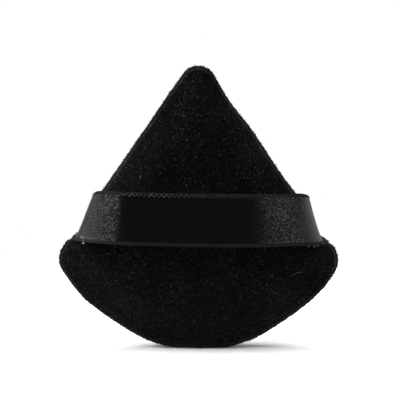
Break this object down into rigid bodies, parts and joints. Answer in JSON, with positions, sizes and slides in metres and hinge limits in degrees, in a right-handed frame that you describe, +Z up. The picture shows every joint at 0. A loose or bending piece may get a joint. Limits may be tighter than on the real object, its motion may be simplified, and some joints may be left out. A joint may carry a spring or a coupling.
{
  "type": "powder puff",
  "caption": "Rounded-triangle velour powder puff with a padded foam core and a satin finger ribbon sewn across its back, for taking up and pressing on loose face powder.",
  "frame": {"origin": "on the surface that the puff stands on, under the middle of its box", "axes": "+Z up towards the tip, +X to the right seen from the ribbon side, +Y from the ribbon side to the powder side"},
  "size_m": [0.07, 0.0242, 0.0705],
  "materials": {
    "velour": "matte",
    "satin": "satin",
    "foam": "matte",
    "wadding": "matte",
    "thread": "satin"
  },
  "bodies": {
    "pad": {"velour_back_panel": "velour", "velour_face_panel": "velour", "wadding_back": "wadding", "wadding_face": "wadding", "foam_core": "foam", "seam_needle_thread": "thread", "seam_bobbin_thread": "thread", "closing_stitch": "thread", "ribbon_tail_left": "satin", "ribbon_tail_right": "satin", "ribbon_tack_left": "thread", "ribbon_tack_right": "thread"},
    "ribbon": {"ribbon_band": "satin"}
  },
  "joints": [
    {"name": "ribbon_swing", "type": "hinge", "parent": "pad", "child": "ribbon", "pos_m": [0, 0.0036, 0.0333], "axis": [-1, 0, 0], "range_deg": [0, 25], "stiffness_Nm_per_rad": 0.0002}
  ]
}
